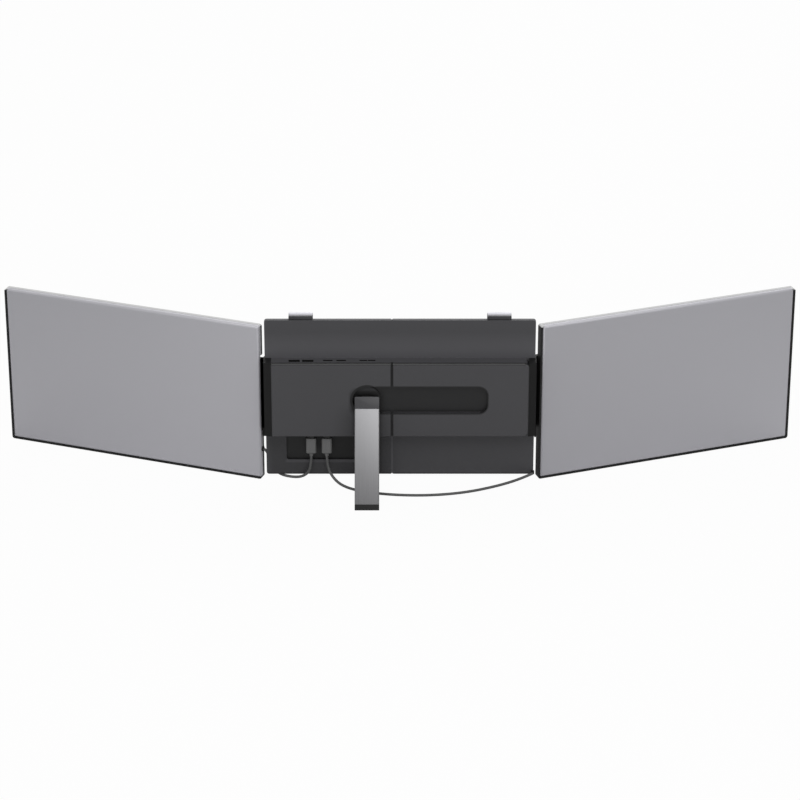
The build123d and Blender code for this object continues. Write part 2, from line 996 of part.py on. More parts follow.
def right_cable_points():
    """The right cable: down from its plug, out over the ground and back to the far corner."""
    x, y = plug_x[1], plug_y()
    return [
        (x, y, cable_start()),
        (x + 0.6, y - 0.5, 20),
        (x + 7, y - 6, 8),
        (x + 19, y - 17, 2.2),
        (x + 42, y - 30, 1.7),
        (x + 80, y - 38.5, 1.7),
        (x + 122, y - 39.5, 1.7),
        (x + 163, y - 32, 1.8),
        (x + 200, y - 18.5, 3.4),
        (x + 228, y - 5, 6),
        (x + 242.6, boot_mouth_y - 1.4, boot_z - 0.2),
    ]


def bracket_half(side, name):
    """The covers, pads, hinge and screws of one half."""
    places = screw_places(side)
    fasteners = screws(places)
    save(name + "_back_cover", bracket_back(side))
    save(name + "_front_cover", front_cover(side) - fasteners)
    save(name + "_front_pads", front_pads(side))
    save(name + "_cover_screws", fasteners)
    save(name + "_hinge_housing", cheek(side))
    save(name + "_hinge_arm", arm(side))
    save(name + "_hinge_pin", hinge_pin(side))
    save(name + "_clip", clip(side))
    save(name + "_clip_pad", clip_cushion(side))


def screw_places(side):
    """Where the front cover's screws sit, in X and Z."""
    outer = side * (plate_half_width - screw_inset)
    strip_end = strip_reach if side > 0 else seam_x - strip_grip
    inner = strip_end + side * screw_inset
    high = plate_top - screw_inset
    return [
        (outer, high),
        (inner, high),
        (outer, spine_bottom - screw_inset),
        (inner, plate_bottom + screw_inset),
    ]


def slide_guides():
    rods = [rod(rod_radius, rod_left, rod_reach, ("X", rod_y(), z)) for z in rod_heights()]
    save("guide_rods", rods)
    save("guide_rod_mounts", rod_mounts())
    save("slide_strips", [strip(z, seam_x - strip_grip, strip_reach) for z in strip_heights()])
    save("slide_tongue", tongue_box(stand_x + retainer_radius + tongue_gap, tongue_reach))
    bushes = [
        rod(bush_radius, seam_x, seam_x + bush_length, ("X", rod_y(), z))
        - rod(rod_radius + fit_gap, seam_x - 1, seam_x + bush_length + 1, ("X", rod_y(), z))
        for z in rod_heights()
    ]
    save("guide_bushes", bushes)


def electronics():
    upper, lower = boards()
    save("port_board", upper)
    save("power_board", lower)
    for name, places, size in port_list():
        save(name, [socket(x, board_back - size[1] / 2, size, spine_top, -1) for x in places])
    save("cable_sockets", [socket(x, plug_y(), usb_c_size, spine_bottom, 1) for x in plug_x])


def stand():
    save("stand_turntable", turntable())
    save("stand_retainer", retainer())
    save("stand_cap", stand_cap())
    save("stand_leg", stand_leg())
    save("stand_foot", stand_foot())
    pin = rod(stand_pin_radius, -stand_pin_length / 2, stand_pin_length / 2, ("X", 0, 0))
    save("stand_hinge_pin", leg_place() * pin)


def cables():
    save("left_cable_plug", cable_plug(plug_x[0]))
    save("right_cable_plug", cable_plug(plug_x[1]))
    for name, points in (
        ("left_cable", left_cable_points()),
        ("right_cable", right_cable_points()),
    ):
        save(name, cable(points, bend_radii(points)))
    save("left_cable_grommet", put(-1, grommet()))
    save("right_cable_boot", right_boot())


bracket_half(-1, "left")
bracket_half(1, "right")
slide_guides()
electronics()
stand()
monitor(-1, "left_monitor")
monitor(1, "right_monitor")
cables()

os.makedirs("parts", exist_ok=True)
for name, solid in nodes.items():
    export_step(solid, f"parts/{name}.step")
print(len(nodes), "nodes")
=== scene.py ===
import json
import math

import bmesh
import bpy
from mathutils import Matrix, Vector

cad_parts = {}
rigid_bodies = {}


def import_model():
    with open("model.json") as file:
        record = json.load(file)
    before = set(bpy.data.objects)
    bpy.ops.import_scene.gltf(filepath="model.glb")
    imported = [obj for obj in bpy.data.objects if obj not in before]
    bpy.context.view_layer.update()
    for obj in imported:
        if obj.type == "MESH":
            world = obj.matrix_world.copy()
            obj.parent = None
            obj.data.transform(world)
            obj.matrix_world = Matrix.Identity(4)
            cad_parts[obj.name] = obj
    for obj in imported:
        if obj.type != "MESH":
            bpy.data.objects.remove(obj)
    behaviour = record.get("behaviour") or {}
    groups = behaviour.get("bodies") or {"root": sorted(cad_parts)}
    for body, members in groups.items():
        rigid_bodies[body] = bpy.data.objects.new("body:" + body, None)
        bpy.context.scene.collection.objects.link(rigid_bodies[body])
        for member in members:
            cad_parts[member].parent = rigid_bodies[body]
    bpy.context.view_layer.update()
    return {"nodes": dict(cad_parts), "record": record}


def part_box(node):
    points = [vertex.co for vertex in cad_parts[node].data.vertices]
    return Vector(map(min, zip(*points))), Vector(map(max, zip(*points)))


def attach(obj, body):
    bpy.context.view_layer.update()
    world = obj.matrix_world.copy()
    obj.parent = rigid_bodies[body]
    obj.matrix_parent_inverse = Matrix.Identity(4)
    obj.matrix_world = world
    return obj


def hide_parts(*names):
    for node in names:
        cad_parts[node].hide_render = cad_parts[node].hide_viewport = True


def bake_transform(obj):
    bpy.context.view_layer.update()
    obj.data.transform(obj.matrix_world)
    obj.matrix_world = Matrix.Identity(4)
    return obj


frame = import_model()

nodes = frame["nodes"]
bodyOf = {
    node: body for body, group in frame["record"]["behaviour"]["bodies"].items() for node in group
}
perMetre = 1000        # outlines and routes are written in millimetres
behind = -0.018        # where the plates' back face lies along Y
weldDistance = 1e-6    # corners of a solid's faces that are closer than this are one
print("frame loaded:", len(nodes), "nodes")

# camera behind the extender, looking a little down on it
cameraView = {
    "distance": 3.826,
    "downDegrees": 25.28,
    "target": (0.0, -0.018, 0.1032),
    "lens": 147.3,
    "sensor": 36.0,
    "farthest": 30.0,
}


def makeCamera(v):
    down = math.radians(v["downDegrees"])
    data = bpy.data.cameras.new("camera")
    data.lens = v["lens"]
    data.sensor_width = v["sensor"]
    data.sensor_fit = "HORIZONTAL"
    data.clip_end = v["farthest"]
    camera = bpy.data.objects.new("camera", data)
    away = Vector((0, -math.cos(down), math.sin(down)))
    camera.location = Vector(v["target"]) + away * v["distance"]
    camera.rotation_euler = (math.pi / 2 - down, 0, 0)
    bpy.context.collection.objects.link(camera)
    bpy.context.scene.camera = camera


makeCamera(cameraView)
print("camera set")


# a socket of a shader node: sums, differences and products of it add their own Math nodes
class Wire:
    def __init__(self, tree, socket):
        self.tree = tree
        self.socket = socket

    def maths(self, operation, first, second):
        step = self.tree.nodes.new("ShaderNodeMath")
        step.operation = operation
        for place, value in enumerate((first, second)):
            if isinstance(value, Wire):
                self.tree.links.new(value.socket, step.inputs[place])
            else:
                step.inputs[place].default_value = value
        return Wire(self.tree, step.outputs[0])

    def __add__(self, other):
        return self.maths("ADD", self, other)

    def __radd__(self, other):
        return self.maths("ADD", other, self)

    def __sub__(self, other):
        return self.maths("SUBTRACT", self, other)

    def __rsub__(self, other):
        return self.maths("SUBTRACT", other, self)

    def __mul__(self, other):
        return self.maths("MULTIPLY", self, other)

    def __rmul__(self, other):
        return self.maths("MULTIPLY", other, self)


mixSockets = {"factor": 0, "first": 6, "second": 7, "result": 2}    # of a Mix node for colours


class Finish:
    def __init__(self, name):
        self.material = bpy.data.materials.new(name)
        self.material.use_nodes = True
        self.tree = self.material.node_tree
        self.shader = self.tree.nodes["Principled BSDF"]

    def node(self, kind, settings=None, values=None, out=0):
        made = self.tree.nodes.new(kind)
        for key, value in (settings or {}).items():
            if key == "stops":
                for index, (place, colour) in enumerate(value):
                    ramp = made.color_ramp.elements
                    stop = ramp[index] if index < len(ramp) else ramp.new(place)
                    stop.position = place
                    stop.color = (*colour, 1)
            else:
                setattr(made, key, value)
        for key, value in (values or {}).items():
            self.feed(made.inputs[key], value)
        return Wire(self.tree, made.outputs[out])

    def feed(self, socket, value):
        if isinstance(value, Wire):
            self.tree.links.new(value.socket, socket)
        elif isinstance(value, tuple) and len(value) == 3 and socket.type == "RGBA":
            socket.default_value = (*value, 1)
        else:
            socket.default_value = value

    def set(self, **inputs):
        for key, value in inputs.items():
            self.feed(self.shader.inputs[key.replace("_", " ")], value)

    def spot(self):
        return self.node("ShaderNodeTexCoord", out="Object")

    def stretched(self, scale=(1, 1, 1)):
        return self.node("ShaderNodeMapping", values={"Vector": self.spot(), "Scale": scale})

    def noise(self, scale, detail, rough, stretch=(1, 1, 1)):
        return self.node(
            "ShaderNodeTexNoise",
            values={
                "Vector": self.stretched(stretch),
                "Scale": scale,
                "Detail": detail,
                "Roughness": rough,
            },
        )

    def ramp(self, value, start, end):
        return self.node(
            "ShaderNodeMapRange", values={"Value": value, "From Min": start, "From Max": end}
        )

    def along(self, axis):
        return self.node("ShaderNodeSeparateXYZ", values={"Vector": self.spot()}, out=axis)

    def vector(self, operation, first, second=(0, 0, 0), out="Vector"):
        return self.node(
            "ShaderNodeVectorMath", {"operation": operation}, {0: first, 1: second}, out
        )

    def boxMask(self, low, high, soft):
        # 1 inside a box given in the piece's own metres, fading to 0 over the soft margins
        inside = None
        for axis in range(3):
            value = self.along(axis)
            rise = self.ramp(value, low[axis] - soft[axis], low[axis])
            fall = self.ramp(value, high[axis] + soft[axis], high[axis])
            inside = rise * fall if inside is None else inside * (rise * fall)
        return inside

    def roundMask(self, centre, half, corner, soft):
        # 1 inside a rounded outline in X and Z, fading to 0 over the soft margin
        spot = self.vector("MULTIPLY", self.spot(), (1, 0, 1))
        spot = self.vector("SUBTRACT", spot, (centre[0], 0, centre[1]))
        spot = self.vector("ABSOLUTE", spot)
        spot = self.vector("SUBTRACT", spot, (half[0] - corner, 0, half[1] - corner))
        spot = self.vector("MAXIMUM", spot)
        away = self.vector("LENGTH", spot, out="Value")
        return self.ramp(away, corner + soft, corner)

    def blendColours(self, factor, first, second):
        mixed = self.node("ShaderNodeMix", {"data_type": "RGBA"}, out=mixSockets["result"])
        step = mixed.socket.node
        self.feed(step.inputs[mixSockets["factor"]], factor)
        self.feed(step.inputs[mixSockets["first"]], first)
        self.feed(step.inputs[mixSockets["second"]], second)
        return mixed

    def painted(self, colour, shades, cool=0.0):
        for shade in shades:
            shape = {key: shade[key] for key in shade if key not in ("level", "strength")}
            mask = self.roundMask(**shape) if "centre" in shape else self.boxMask(**shape)
            shaded = tint(shade["level"], cool)
            colour = self.blendColours(mask * shade["strength"], colour, shaded)
        return colour

    def paintedHeightShading(self, p):
        # painted light and shade: from the lower grey level to the upper one over the span in
        # height
        height = self.ramp(self.along(2), *p["span"])
        return self.blendColours(
            height, tint(p["lowLevel"], p["cool"]), tint(p["level"], p["cool"])
        )

    def bump(self, height, strength, distance):
        return self.node(
            "ShaderNodeBump", values={"Height": height, "Strength": strength, "Distance": distance}
        )


# a screen's curve, from the 0-255 level that it shows to linear light
screenCurve = {"top": 255, "knee": 0.04045, "slope": 12.92, "offset": 0.055, "power": 2.4}
coolShift = (-0.4, -0.6, 1.0)        # how a cool grey moves its red, green and blue


def grey(level):
    c = screenCurve
    part = level / c["top"]
    if part <= c["knee"]:
        return part / c["slope"]
    return ((part + c["offset"]) / (1 + c["offset"])) ** c["power"]


def tint(level, cool=0.0):
    return tuple(grey(level) * (1 + cool * shift) for shift in coolShift)


# plastics: grey levels are 0-255, a pattern is its scale, detail and roughness, and a bump
# is its strength and depth
bracketPlastic = {
    "level": 69, "spread": 3, "cool": 0.05, "smoothest": 0.41, "ior": 1.46,
    "grain": (2600, 3.0, 0.6), "cloud": (14, 3.0, 0.55),
    "grainColour": 0.4, "cloudColour": 0.6, "grainRough": 0.10, "cloudRough": 0.08,
    "bump": (0.35, 0.00003),
}
capPlastic = dict(bracketPlastic, level=58)
discPlastic = dict(bracketPlastic, level=46, ior=1.38)
darkPlastic = dict(
    bracketPlastic, level=17, cool=0.0, smoothest=0.43, ior=1.32, bump=(0.35, 0.00002)
)
monitorEdgePlastic = dict(darkPlastic, level=30)


def mouldedPlastic(name, p, shades=()):
    f = Finish(name)
    grain = f.noise(*p["grain"])
    cloud = f.noise(*p["cloud"])
    light = tint(p["level"] + p["spread"], p["cool"])
    dark = tint(p["level"] - p["spread"], p["cool"])
    colour = f.blendColours(cloud * p["cloudColour"] + grain * p["grainColour"], dark, light)
    f.set(
        Base_Color=f.painted(colour, shades, p["cool"]),
        Roughness=cloud * p["cloudRough"] + grain * p["grainRough"] + p["smoothest"],
        Normal=f.bump(grain, *p["bump"]),
        IOR=p["ior"],
    )
    return f.material


# painted light: the back covers are painted lighter towards the bottom (lowLevel) than at the top
# (level), to lift the shade lower down
monitorMetal = {
    "level": 178, "lowLevel": 194, "span": (0.0, 0.197), "glint": 10, "cool": 0.04,
    "metallic": 0.35, "smoothest": 0.33,
    "grain": (3200, 2.0, 0.6), "cloud": (6, 2.0, 0.5),
    "grainColour": 0.24, "cloudColour": 0.16, "grainRough": 0.12, "cloudRough": 0.06,
    "bump": (0.3, 0.00001),
}


def anodisedMetal(name, p):
    f = Finish(name)
    grain = f.noise(*p["grain"])
    cloud = f.noise(*p["cloud"])
    base = f.paintedHeightShading(p)
    light = tint(p["level"] + p["glint"], p["cool"])
    f.set(
        Base_Color=f.blendColours(
            grain * p["grainColour"] + cloud * p["cloudColour"], base, light
        ),
        Metallic=p["metallic"],
        Roughness=grain * p["grainRough"] + cloud * p["cloudRough"] + p["smoothest"],
        Normal=f.bump(grain, *p["bump"]),
    )
    return f.material


# painted shade: the leg is painted darker towards its foot (lowLevel) than at the top (level), as
# the light falls off towards the floor
legMetal = {
    "level": 158, "lowLevel": 98, "span": (0.0, 0.1), "glint": 16, "cool": 0.02,
    "metallic": 0.3, "smoothest": 0.36,
    "streaks": (900, 4.0, 0.7), "stretch": (1, 0.03, 0.03),
    "streakColour": 0.3, "streakRough": 0.2,
    "bump": (0.2, 0.00001),
}


def brushedMetal(name, p):
    f = Finish(name)
    streak = f.noise(*p["streaks"], p["stretch"])
    base = f.paintedHeightShading(p)
    light = tint(p["level"] + p["glint"], p["cool"])
    f.set(
        Base_Color=f.blendColours(streak * p["streakColour"], base, light),
        Metallic=p["metallic"],
        Roughness=streak * p["streakRough"] + p["smoothest"],
        Normal=f.bump(streak, *p["bump"]),
    )
    return f.material


rubberSkin = {
    "level": 42, "darker": 4, "lighter": 5, "smoothest": 0.74, "ior": 1.3,
    "grain": (1500, 3.0, 0.6), "grainRough": 0.12, "bump": (0.4, 0.00004),
}
cableSkin = dict(rubberSkin, level=84, smoothest=0.44, ior=1.45, grain=(1800, 3.0, 0.6))
plugSkin = dict(rubberSkin, level=108, smoothest=0.44, ior=1.45, grain=(2400, 3.0, 0.6))


def softSkin(name, p, shades=()):
    f = Finish(name)
    grain = f.noise(*p["grain"])
    colour = f.blendColours(grain, tint(p["level"] - p["darker"]), tint(p["level"] + p["lighter"]))
    f.set(
        Base_Color=f.painted(colour, shades),
        Roughness=grain * p["grainRough"] + p["smoothest"],
        Normal=f.bump(grain, *p["bump"]),
        IOR=p["ior"],
    )
    return f.material


turnedSteel = {
    "streaks": (1200, 3.0, 0.6), "stretch": (1, 1, 0.05), "darkLevel": 150, "lightLevel": 185,
    "metallic": 0.9, "smoothest": 0.25, "streakRough": 0.2,
}


def bareSteel(name, p):
    f = Finish(name)
    streak = f.noise(*p["streaks"], p["stretch"])
    f.set(
        Base_Color=f.blendColours(streak, tint(p["darkLevel"]), tint(p["lightLevel"])),
        Metallic=p["metallic"],
        Roughness=streak * p["streakRough"] + p["smoothest"],
    )
    return f.material


greenBoard = {
    "trackScale": 260.0, "trackStops": [(0.42, (0, 0, 0)), (0.5, (1, 1, 1))],
    "maskColour": (0.010, 0.060, 0.026), "trackColour": (0.022, 0.115, 0.050),
    "speckle": (900, 2.0, 0.5), "speckleRough": 0.15, "smoothest": 0.3,
}


def circuitBoard(name, p):
    f = Finish(name)
    cells = f.node(
        "ShaderNodeTexVoronoi",
        {"distance": "MANHATTAN"},
        {"Vector": f.stretched(), "Scale": p["trackScale"]},
    )
    tracks = f.node("ShaderNodeValToRGB", {"stops": p["trackStops"]}, {"Fac": cells})
    f.set(
        Base_Color=f.blendColours(tracks, p["maskColour"], p["trackColour"]),
        Roughness=f.noise(*p["speckle"]) * p["speckleRough"] + p["smoothest"],
    )
    return f.material


frontGlass = {
    "level": 14, "spread": 2, "cool": 0.05, "smoothest": 0.22, "ior": 1.5,
    "haze": (3200, 2.0, 0.5), "hazeRough": 0.06, "bump": (0.08, 0.000005),
}
displayFilm = dict(frontGlass, level=10, smoothest=0.4)


def darkScreen(name, p):
    f = Finish(name)
    haze = f.noise(*p["haze"])
    light = tint(p["level"] + p["spread"], p["cool"])
    dark = tint(p["level"] - p["spread"], p["cool"])
    f.set(
        Base_Color=f.blendColours(haze, dark, light),
        Roughness=haze * p["hazeRough"] + p["smoothest"],
        Normal=f.bump(haze, *p["bump"]),
        IOR=p["ior"],
    )
    return f.material


# painted shade, shadows and highlights on the mouldings, in metres: a box with soft margins
# along X, Y and Z, or a rounded outline in X and Z, with the grey level that it blends to and how
# strongly
crisp = 0.0004
# painted light: the plate just above the spine is lifted to a lighter grey where the spine's shade
# darkens it
aboveSpineLight = {
    "low": (-0.2, -0.0184, 0.150), "high": (0.2, -0.0170, 0.160), "soft": (crisp, 0.0001, 0.030),
    "level": 92, "strength": 0.9,
}
leftShade = {
    "low": (-0.1500, -0.0190, 0.0), "high": (-0.0300, -0.0150, 0.045),
    "soft": (0.012, crisp, 0.025),
    "level": 36, "strength": 0.55,
}
# painted shade in the bar of the stand's recess
standBarShade = {
    "centre": (0.0320, 0.1105), "half": (0.0703, 0.0174), "corner": 0.0114, "soft": 0.0016,
    "level": 22, "strength": 1,
}
# painted highlight: a lighter line on the lit lower wall of the stand's recess
recessSillHighlight = {
    "low": (-0.0200, -0.0345, 0.0928), "high": (0.0930, -0.0290, 0.0938),
    "soft": (0.006, crisp, 0.0002),
    "level": 50, "strength": 1,
}
# painted shade: a dark ring in the round end of the stand's recess, around the turntable
standRoundShade = {
    "centre": (-0.0384, 0.1105), "half": (0.0194, 0.0194), "corner": 0.0194, "soft": 0.0009,
    "level": 12, "strength": 1,
}
# painted shadow: a wide faint shadow of the leg on the spine and the lower plate
legShadowFringe = {
    "low": (-0.0520, -0.0362, 0.0), "high": (-0.0250, -0.0150, 0.088),
    "soft": (0.026, crisp, 0.020),
    "level": 40, "strength": 0.45,
}
legShade = {
    "low": (-0.0535, -0.0362, 0.0), "high": (-0.0236, -0.0150, 0.100),
    "soft": (0.0035, crisp, 0.004),
    "level": 18, "strength": 0.5,
}
capShade = {
    "centre": (-0.0384, 0.1085), "half": (0.0158, 0.0125), "corner": 0.004, "soft": 0.0065,
    "level": 4, "strength": 0.9,
}
# painted shade on the floor of the plug bay
plugBayShade = {
    "low": (-0.1337, -0.0176, 0.0258), "high": (-0.0408, -0.0151, 0.0637),
    "soft": (crisp, crisp, crisp),
    "level": 12, "strength": 1,
}
# painted highlight: a lighter line along the plug bay's lower edge
baySillHighlight = {
    "low": (-0.1337, -0.0182, 0.0225), "high": (-0.0408, -0.0176, 0.0250),
    "soft": (0.002, crisp, 0.001),
    "level": 78, "strength": 0.6,
}
seamShade = {
    "low": (-0.0104, -0.0352, 0.063), "high": (-0.0084, -0.0300, 0.158),
    "soft": (0.0012, crisp, crisp),
    "level": 16, "strength": 0.95,
}
# painted shade: a dark line along the spine's top edge, over the eased edge's highlight
spineTopEdgeShade = {
    "low": (-0.160, -0.0352, 0.1558), "high": (0.160, -0.0318, 0.162),
    "soft": (crisp, 0.0008, crisp),
    "level": 20, "strength": 1,
}
# painted highlight: a lighter line along the seam on the lower plates
seamHighlight = {
    "low": (-0.0098, -0.0195, 0.0070), "high": (-0.0090, -0.0170, 0.0550),
    "soft": (0.0010, crisp, 0.003),
    "level": 92, "strength": 0.6,
}
# painted shade: a dark line along the plates' bottom edge
bottomRimShade = {
    "low": (-0.2, -0.0195, 0.0), "high": (0.2, -0.0150, 0.0078), "soft": (crisp, crisp, 0.0012),
    "level": 30, "strength": 0.8,
}
# painted shade on the plates' outer side edges, darker on the left than on the right
leftRimShade = {
    "low": (-0.2, -0.0362, 0.0), "high": (-0.1577, 0.0, 0.21), "soft": (0.0005, crisp, crisp),
    "level": 8, "strength": 1,
}
rightRimShade = {
    "low": (0.1577, -0.0362, 0.0), "high": (0.2, 0.0, 0.21), "soft": (0.0005, crisp, crisp),
    "level": 22, "strength": 1,
}
shellShades = (
    aboveSpineLight, leftShade, standBarShade, recessSillHighlight, standRoundShade, legShadowFringe, legShade, capShade,
    plugBayShade, baySillHighlight, seamShade, spineTopEdgeShade, seamHighlight, bottomRimShade, leftRimShade, rightRimShade,
)
# painted reflection: the clips' top faces are painted near white, for the white surround that they
# reflect
hookTopReflection = {
    "low": (-0.2, -0.0062, 0.2092), "high": (0.2, 0.1, 0.22), "soft": (crisp, 0.0102, crisp),
    "level": 250, "strength": 1,
}
# painted shade: a dark edge on the turntable around the stand's cap
capEdgeShade = {
    "centre": (-0.0384, 0.1085), "half": (0.0156, 0.0113), "corner": 0.002, "soft": 0.0032,
    "level": 0, "strength": 1,
}
# painted highlight: the frames' top faces are painted light, where light from above falls on them
frameTopHighlight = {
    "low": (-0.6, -0.3, 0.1958), "high": (0.6, 0.3, 0.22), "soft": (crisp, crisp, 0.0002),
    "level": 205, "strength": 1,
}
# painted shade: the plugs' tips under the spine are painted dark
plugTipShade = {
    "low": (-0.2, -0.1, 0.0578), "high": (0.2, 0.1, 0.07), "soft": (crisp, crisp, crisp),
    "level": 24, "strength": 1,
}

finishes = {
    "bracket": mouldedPlastic("bracket_plastic_skin", bracketPlastic),
    "shell": mouldedPlastic("bracket_shell_skin", bracketPlastic, shellShades),
    "hook": mouldedPlastic("hook_skin", capPlastic, [hookTopReflection]),
    "cap": mouldedPlastic("cap_skin", capPlastic),
    "disc": mouldedPlastic("disc_skin", discPlastic, [capEdgeShade]),
    "monitorEdge": mouldedPlastic("monitor_edge_skin", monitorEdgePlastic, [frameTopHighlight]),
    "dark": mouldedPlastic("dark_plastic_skin", darkPlastic),
    "metalBack": anodisedMetal("monitor_back_skin", monitorMetal),
    "leg": brushedMetal("leg_skin", legMetal),
    "rubber": softSkin("rubber_skin", rubberSkin),
    "cable": softSkin("cable_skin", cableSkin),
    "plug": softSkin("plug_skin", plugSkin, [plugTipShade]),
    "steel": bareSteel("steel_skin", turnedSteel),
    "board": circuitBoard("board_skin", greenBoard),
    "screen": darkScreen("screen_skin", frontGlass),
    "display": darkScreen("display_skin", displayFilm),
}
print("finishes made:", len(finishes))


def bothSides(*names):
    return [side + name for name in names for side in ("left_", "right_")]


# which finish each node shows; the front covers have the bracket's plain one
finishByNode = {
    "shell": bothSides("back_cover"),
    "hook": bothSides("clip"),
    "cap": ["stand_cap"],
    "disc": ["stand_turntable"],
    "monitorEdge": bothSides("monitor_frame", "monitor_bezel"),
    "metalBack": bothSides("monitor_back_cover"),
    "leg": ["stand_leg"],
    "rubber": bothSides("front_pads", "clip_pad") + ["stand_foot", "left_cable_grommet"],
    "steel": bothSides("cover_screws", "hinge_pin") + [
        "stand_hinge_pin", "stand_retainer", "guide_rods", "slide_strips", "slide_tongue",
    ],
    "dark": bothSides("hinge_housing", "hinge_arm", "monitor_hinge_leaf", "monitor_button") + [
        "guide_bushes", "guide_rod_mounts", "right_cable_boot",
        # painted shade: the ports and sockets take the dark finish in place of their steel, for
        # the shade in their mouths
        "usb_a_ports", "hdmi_ports", "usb_c_ports", "cable_sockets",
    ],
    "board": bothSides("monitor_driver_board") + ["port_board", "power_board"],
    "screen": bothSides("monitor_glass"),
    "display": bothSides("monitor_display_panel"),
    "cable": bothSides("cable"),
    "plug": bothSides("cable_plug"),
}
finishOf = {node: finish for finish, group in finishByNode.items() for node in group}


def dress(piece, finish):
    piece.data.materials.clear()
    piece.data.materials.append(finishes[finish])


for name, node in nodes.items():
    dress(node, finishOf.get(name, "bracket"))
print("nodes dressed:", len(nodes))

# casings with rounded edges: each keeps its node's shape, and a radius in metres rounds it
edgeRadius = {
    "left_monitor_back_cover": 0.0005,
    "right_monitor_back_cover": 0.0005,
    "stand_leg": 0.0004,
    "stand_foot": 0.0003,
    "stand_cap": 0.0006,
    "stand_turntable": 0.0003,
    "left_cable_plug": 0.0006,
    "right_cable_plug": 0.0006,
    "left_clip": 0.0004,
    "right_clip": 0.0004,
}
rounding = {"segments": 2, "sharpFrom": 30, "flatWithin": 1}        # angles in degrees


def easedCopy(name, radius, r):
    shape = nodes[name].data.copy()
    work = bmesh.new()
    work.from_mesh(shape)
    bmesh.ops.remove_doubles(work, verts=work.verts, dist=weldDistance)
    bmesh.ops.dissolve_limit(
        work, angle_limit=math.radians(r["flatWithin"]), verts=work.verts, edges=work.edges
    )
    work.to_mesh(shape)
    work.free()
    piece = bpy.data.objects.new(name + "_eased", shape)
    bpy.context.collection.objects.link(piece)
    bevel = piece.modifiers.new("edges", "BEVEL")
    bevel.width = radius
    bevel.segments = r["segments"]
    bevel.limit_method = "ANGLE"
    bevel.angle_limit = math.radians(r["sharpFrom"])
    bevel.harden_normals = True
    for face in shape.polygons:
        face.use_smooth = True
    shape.validate()
    dress(piece, finishOf[name])
    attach(piece, bodyOf[name])
    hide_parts(name)
    return piece


eased = {name: easedCopy(name, radius, rounding) for name, radius in edgeRadius.items()}
print("eased casings:", len(eased))


def solidPrisms(name, outlines, low, high, upright=True):
    # upright outlines lie in X and Y and rise along Z; the others lie in X and Z, along Y
    work = bmesh.new()
    for outline in outlines:
        ends = []
        for level in (low, high):
            spots = [(u, v, level) if upright else (u, level, v) for u, v in outline]
            ends.append([work.verts.new(spot) for spot in spots])
            work.faces.new(ends[-1])
        floor, roof = ends
        for a in range(len(outline)):
            b = (a + 1) % len(outline)
            work.faces.new((floor[a], floor[b], roof[b], roof[a]))
    bmesh.ops.recalc_face_normals(work, faces=work.faces)
    shape = bpy.data.meshes.new(name)
    work.to_mesh(shape)
    work.free()
    piece = bpy.data.objects.new(name, shape)
    bpy.context.collection.objects.link(piece)
    return piece


# dark flanks beside the hinge housings, which close the view past the knuckles and stand in for
# the deep
# shade there: an outline from the plates' back face and its span in height, in millimetres
hingeShadeFlanks = {
    "left": {
        "outline": [(-158.4, 4.0), (-158.4, 5.8), (-162.2, 5.8), (-163.2, 4.9), (-163.2, 4.0)],
        "low": 54.5,
        "high": 155.8,
    },
    "right": {
        "outline": [(158.3, 10.9), (160.1, 11.6), (160.4, 13.0), (160.4, 14.2), (158.3, 14.2)],
        "low": 49.5,
        "high": 153.0,
    },
}
for side, h in hingeShadeFlanks.items():
    outline = [(x / perMetre, y / perMetre + behind) for x, y in h["outline"]]
    flank = solidPrisms(
        side + "_hinge_shade_flank", [outline], h["low"] / perMetre, h["high"] / perMetre
    )
    dress(flank, "dark")
    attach(flank, side + "_half")
print("hinge flanks:", len(hingeShadeFlanks))

# dark crosses on the heads of the cover screws, standing in for the shade in their cross recesses,
# each turned further than the one before
crossRecessShade = {
    "reach": 0.00125, "width": 0.00028, "depth": 0.0006, "proud": 0.00004,
    "firstTurn": 25, "nextTurn": 31, "armTurn": 90, "arms": 4,
}


def headCentres(name):
    work = bmesh.new()
    work.from_mesh(nodes[name].data)
    bmesh.ops.remove_doubles(work, verts=work.verts, dist=weldDistance)
    waiting, centres = set(work.verts), []
    while waiting:
        screw, reached = set(), [min(waiting, key=lambda vert: vert.index)]
        while reached:
            vert = reached.pop()
            if vert not in screw:
                screw.add(vert)
                reached += [line.other_vert(vert) for line in vert.link_edges]
        waiting -= screw
        xs, zs = [vert.co.x for vert in screw], [vert.co.z for vert in screw]
        centres.append(((min(xs) + max(xs)) / 2, (min(zs) + max(zs)) / 2))
    work.free()
    return centres


def crossOutline(centre, c, turn):
    reach, width = c["reach"], c["width"]
    spots = []
    for arm in range(c["arms"]):
        a = math.radians(c["armTurn"] * arm + turn)
        for u, v in ((reach, -width), (reach, width), (width, width)):
            spots.append((
                centre[0] + u * math.cos(a) - v * math.sin(a),
                centre[1] + u * math.sin(a) + v * math.cos(a),
            ))
    return spots


def screwRecessShades(side, c):
    name = side + "_cover_screws"
    crosses = [
        crossOutline(centre, c, c["firstTurn"] + c["nextTurn"] * number)
        for number, centre in enumerate(headCentres(name))
    ]
    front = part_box(name)[1][1]
    piece = solidPrisms(
        name + "_recess_shade", crosses, front - c["depth"], front + c["proud"], upright=False
    )
    dress(piece, "dark")
    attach(piece, side + "_half")
    print(side, "screw recesses:", len(crosses))


for side in ("left", "right"):
    screwRecessShades(side, crossRecessShade)

